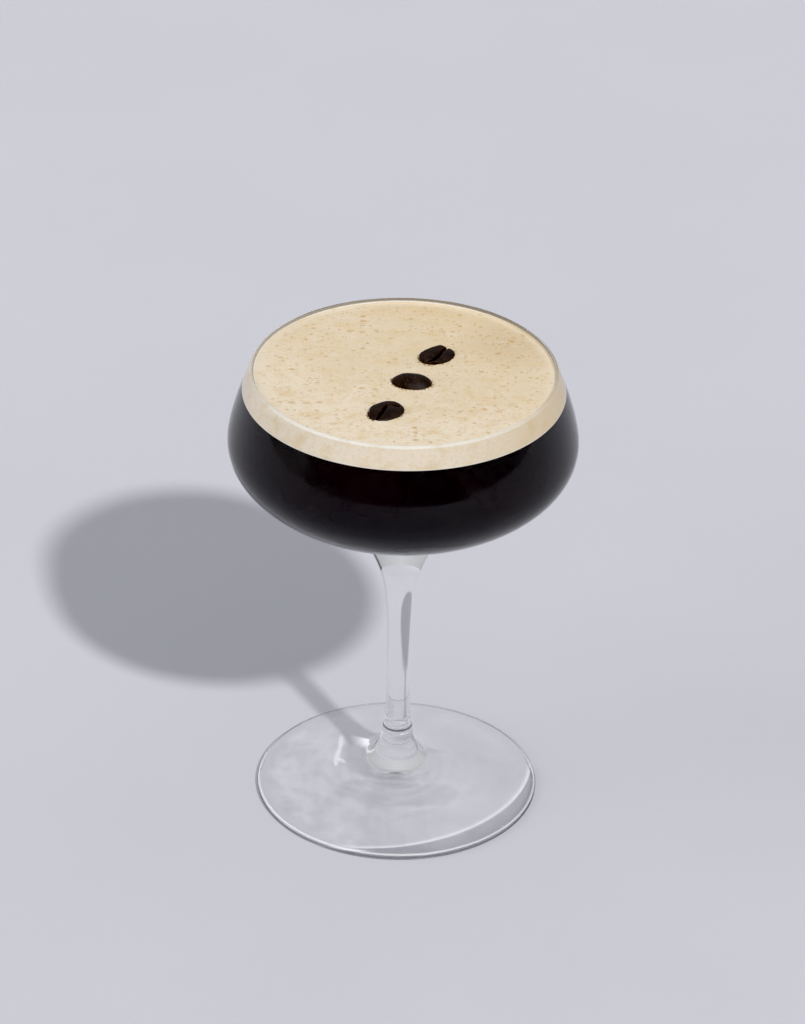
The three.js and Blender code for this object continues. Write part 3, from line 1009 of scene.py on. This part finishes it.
# Height over the level, and the shares of bubble colour and of stain, at each point of the sheet.
def foamTop(points, f, reach):
    height = np.array([sum(rise * noise.noise(Vector((x, y, layer)) / length)
                           for rise, length, layer in f["swells"]) for x, y in points])
    speck = np.zeros(len(points))
    lipHeight, lipPlace, lipWidth = f["bubbleLip"]
    for x, y, size, depth in bubbleList(f, reach - f["bubbleMargin"]):
        near = np.nonzero((np.abs(points[:, 0] - x) < 2 * size) & (np.abs(points[:, 1] - y) < 2 * size))[0]
        far = np.hypot(points[near, 0] - x, points[near, 1] - y) / size
        edge = lipHeight * np.exp(-((far - lipPlace) / lipWidth) ** 2)
        height[near] += depth * (edge - np.exp(-(far / f["bubbleHollow"]) ** 2))
        speck[near] = np.maximum(speck[near], np.exp(-(far / 0.8) ** 2) * min(1.0, size / 0.4))
    out = np.hypot(points[:, 0], points[:, 1])
    front = f["climbBack"] + (1 - f["climbBack"]) * smoothStep(*f["climbTurn"], points[:, 1] / reach)
    height += f["climb"] * front * np.exp(-4.5 * (reach - out) / f["climbWidth"])
    stain = np.zeros(len(points))
    riseHeight, riseWidth = f["beanRise"]
    for b in beans.values():
        turn = math.radians(b["turn"])
        dx, dy = points[:, 0] - b["x"], points[:, 1] - b["y"]
        along = (dx * math.cos(turn) + dy * math.sin(turn)) / (b["length"] / 2)
        across = (-dx * math.sin(turn) + dy * math.cos(turn)) / (b["width"] / 2)
        rim = np.hypot(along, across)
        height += riseHeight * np.exp(-np.abs(rim - 1) / riseWidth)
        stain = np.maximum(stain, np.exp(-np.clip(rim - 1, 0, 9) / f["stainWidth"]))
        share = np.clip(rim / f["beanHole"], 0, 1)
        flat = b["thickness"] * beanLook["flatShare"]
        drop = b["thickness"] - flat if b["faceUp"] else flat
        under = b["lift"] - drop * np.sqrt(1 - share ** 2) - f["beanGap"]
        height = np.where(rim < f["beanHole"], np.minimum(height, under), height)
    return height, speck, stain


# Fine bubbles in three sizes: how strongly each size shows at a place.
def fineBubbles(tree, place, crowd, top, f):
    masks = []
    for cell, most, rare, depth in f["fineBubbles"]:
        cells = add(tree, "ShaderNodeTexVoronoi", _Scale=1000 / cell, _Randomness=1.0)
        link(tree, place, cells.inputs["Vector"])
        draws = add(tree, "ShaderNodeSeparateColor")
        link(tree, cells.outputs["Color"], draws.inputs[0])
        size = mathNode(tree, "MULTIPLY", mathNode(tree, "POWER", draws.outputs[0], rare), most)
        inside = mathNode(tree, "SUBTRACT", size, cells.outputs["Distance"])
        masks.append(mathNode(tree, "MULTIPLY", ramp(tree, inside, -0.06, 0.14, 0, depth), top,
                              ramp(tree, draws.outputs[1], 0, 1, 0.35, 1), crowd))
    return masks


def foamMaterial(f):
    fixed = {"Roughness": f["roughness"], "Specular IOR Level": f["shine"]}
    material, tree, shader, place = newMaterial("creamFoam", fixed)
    clouds = f["clouds"]  # how many to a metre
    inMm = millimetres(tree, place)
    x, _, z = partsOf(tree, inMm)
    reach = planDistance(tree, inMm)
    wide = vectorNode(tree, "MULTIPLY", place, f["wide"])
    stray = vectorNode(tree, "MULTIPLY", noiseNode(tree, place, clouds["stray"], 2, output="Color"),
                       (f["ragged"] * mm,) * 3)
    patch = noiseNode(tree, wide, clouds["patch"], 4, 0.62)
    fine = noiseNode(tree, wide, clouds["fine"], 3, 0.65)
    side = ramp(tree, reach, *f["sideFrom"])
    top = mathNode(tree, "SUBTRACT", 1, side)

    # paler towards the front left, tan towards the back, in soft clouds, and a painted soft shade at the
    # back right
    lean = vectorNode(tree, "DOT_PRODUCT", inMm, f["paleTowards"])
    lean = mathNode(tree, "MULTIPLY", lean, f["paleSlope"])
    follows = {
        "drift": mathNode(tree, "ADD", lean, noiseNode(tree, place, clouds["drift"], 3, 0.55)),
        "froth": planDistance(tree, inMm, *f["dimAt"]),
        "patch": patch,
        "fine": fine,
    }
    colour = f["cream"]
    for name, start, full, most, tone in f["layers"]:
        colour = mixColour(tree, ramp(tree, follows[name], start, full, 0, most), colour, f[tone])

    # bubbles, fine and large, and the stain round the beans
    crowd = ramp(tree, noiseNode(tree, place, clouds["crowd"], 2), 0.35, 0.62, 0.55, 1)
    masks = fineBubbles(tree, vectorNode(tree, "ADD", wide, stray), crowd, top, f)
    speck = add(tree, "ShaderNodeAttribute", attribute_name="speck").outputs["Fac"]
    for mask in (*masks, ramp(tree, speck, 0.1, 1.1, 0, 0.75)):
        colour = mixColour(tree, mask, colour, f["speck"])
    stain = add(tree, "ShaderNodeAttribute", attribute_name="stain").outputs["Fac"]
    blots = mathNode(tree, "MULTIPLY", noiseNode(tree, place, clouds["blots"], 2, 0.6), 1.5)
    stain = mathNode(tree, "ADD", mathNode(tree, "MULTIPLY", stain, 0.6), blots)
    colour = mixColour(tree, ramp(tree, stain, 1.17, 1.4, 0, 0.85), colour, f["deep"])

    # the side through the glass in painted shade, the pale edge, and the thin film that has climbed the
    # glass
    warm = mathNode(tree, "MULTIPLY", side, ramp(tree, x, *f["warmRight"]))
    colour = mixColour(tree, warm, colour, f["tan"])
    # painted shade on the foam's side, with less of it towards the left
    paintedSideShade = mathNode(tree, "MULTIPLY", side, ramp(tree, x, *f["sideShadeByX"]))
    colour = mixColour(tree, paintedSideShade, colour, f["side"], "MULTIPLY")
    edge = mathNode(tree, "MULTIPLY", ramp(tree, reach, *f["edgeFrom"]), top)
    colour = mixColour(tree, edge, colour, f["pale"])
    low, high = (f["level"] + v for v in f["filmAbove"])
    film = mathNode(tree, "MULTIPLY", ramp(tree, z, low, high), ramp(tree, reach, *f["filmOutside"]),
                    ramp(tree, x, *f["filmAcross"]), ramp(tree, patch, *f["filmPatches"]))
    colour = mixColour(tree, film, colour, f["skin"])
    above = mathNode(tree, "SUBTRACT", z, f["bottom"])
    colour = mixColour(tree, ramp(tree, above, *f["footLine"]), colour, f["skin"])
    link(tree, colour, shader.inputs["Base Color"])
    pits = mathNode(tree, "ADD", masks[0], masks[1])
    relief = mathNode(tree, "SUBTRACT", mathNode(tree, "MULTIPLY", fine, 0.6), pits)
    bump(tree, shader, relief, 0.3, f["poreDepth"])
    return material


def makeFoam(f):
    wall = wallBetween(f["bottom"], f["level"] + f["climb"], f["intoWall"])
    reach = wall[-1][0]
    disc, faces, edge = discSheet(f["cells"])
    points = disc * reach
    height, speck, stain = foamTop(points, f, reach)
    vertices = np.column_stack([points, f["level"] + height])
    above = vertices[edge]
    rows = [edge]
    for radius, z in wall[-2::-1]:
        ring = above.copy()
        ring[:, :2] *= radius / reach
        ring[:, 2] = z
        rows.append(list(range(len(vertices), len(vertices) + len(edge))))
        vertices = np.vstack([vertices, ring])
    middle = len(vertices)
    vertices = np.vstack([vertices, [(0, 0, f["bottom"])]])
    count = len(edge)
    for high, low in zip(rows, rows[1:]):
        faces += [(high[i], low[i], low[(i + 1) % count], high[(i + 1) % count]) for i in range(count)]
    faces += [(rows[-1][i], middle, rows[-1][(i + 1) % count]) for i in range(count)]
    made = piece("cream_foam", vertices, faces, foamMaterial(f), "foam")
    for name, values in (("speck", speck), ("stain", stain)):
        allValues = np.zeros(len(made.data.vertices), np.float32)
        allValues[:len(values)] = values
        made.data.attributes.new(name, "FLOAT", "POINT").data.foreach_set("value", allValues)


makeFoam(foam)
print("foam laid")

roast = beanMaterial(beanLook)
for name, bean in beans.items():
    shape, faces = beanShape(bean, beanLook)
    turn, place = beanPlace(bean)
    piece("roasted_" + name, shape @ turn.T + place, faces, roast, name)
print("beans set")


# What the renderer needs: enough bounces for clear glass, plain colour

def setLook(s):
    scene = bpy.context.scene
    scene.view_settings.view_transform = "Standard"
    scene.view_settings.look = "None"
    scene.view_settings.use_curve_mapping = True
    scene.view_settings.curve_mapping.black_level = (s["blackLevel"],) * 3
    scene.view_settings.curve_mapping.update()
    scene.cycles.sampling_pattern = "TABULATED_SOBOL"  # the default leaves dots on the coffee
    scene.cycles.max_bounces = 24
    scene.cycles.transmission_bounces = 20
    scene.cycles.glossy_bounces = 20
    scene.cycles.transparent_max_bounces = 16
    scene.cycles.diffuse_bounces = 4
    scene.cycles.sample_clamp_indirect = 8


setLook(studio)
